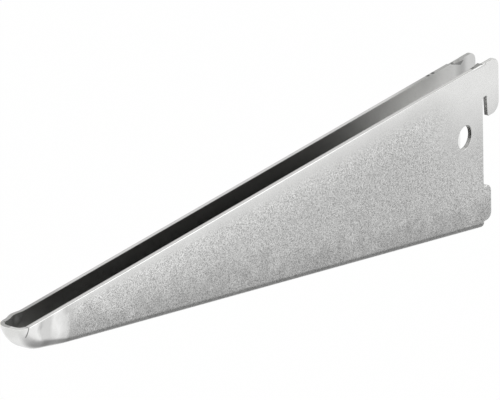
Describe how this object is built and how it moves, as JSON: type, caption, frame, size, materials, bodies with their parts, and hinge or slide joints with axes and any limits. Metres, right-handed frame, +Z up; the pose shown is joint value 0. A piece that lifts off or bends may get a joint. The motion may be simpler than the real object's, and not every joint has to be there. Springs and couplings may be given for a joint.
{
  "type": "double slot shelf bracket",
  "caption": "Shelf bracket folded from one galvanised steel sheet: a tapering channel with a closed nose, with hooks and lugs at the back that hang in a slotted wall rail.",
  "frame": {"origin": "on the mid-plane between the two walls, where the rail's front face meets the plane the shelf lies on", "axes": "+X across the channel, +Y back into the wall rail, +Z up"},
  "size_m": [0.013, 0.3001, 0.0663],
  "materials": {
    "galvanised_steel": "zinc-coated sheet with a fine matt grain and sheared edges"
  },
  "bodies": {
    "root": {"bracket": "galvanised_steel"}
  },
  "joints": []
}
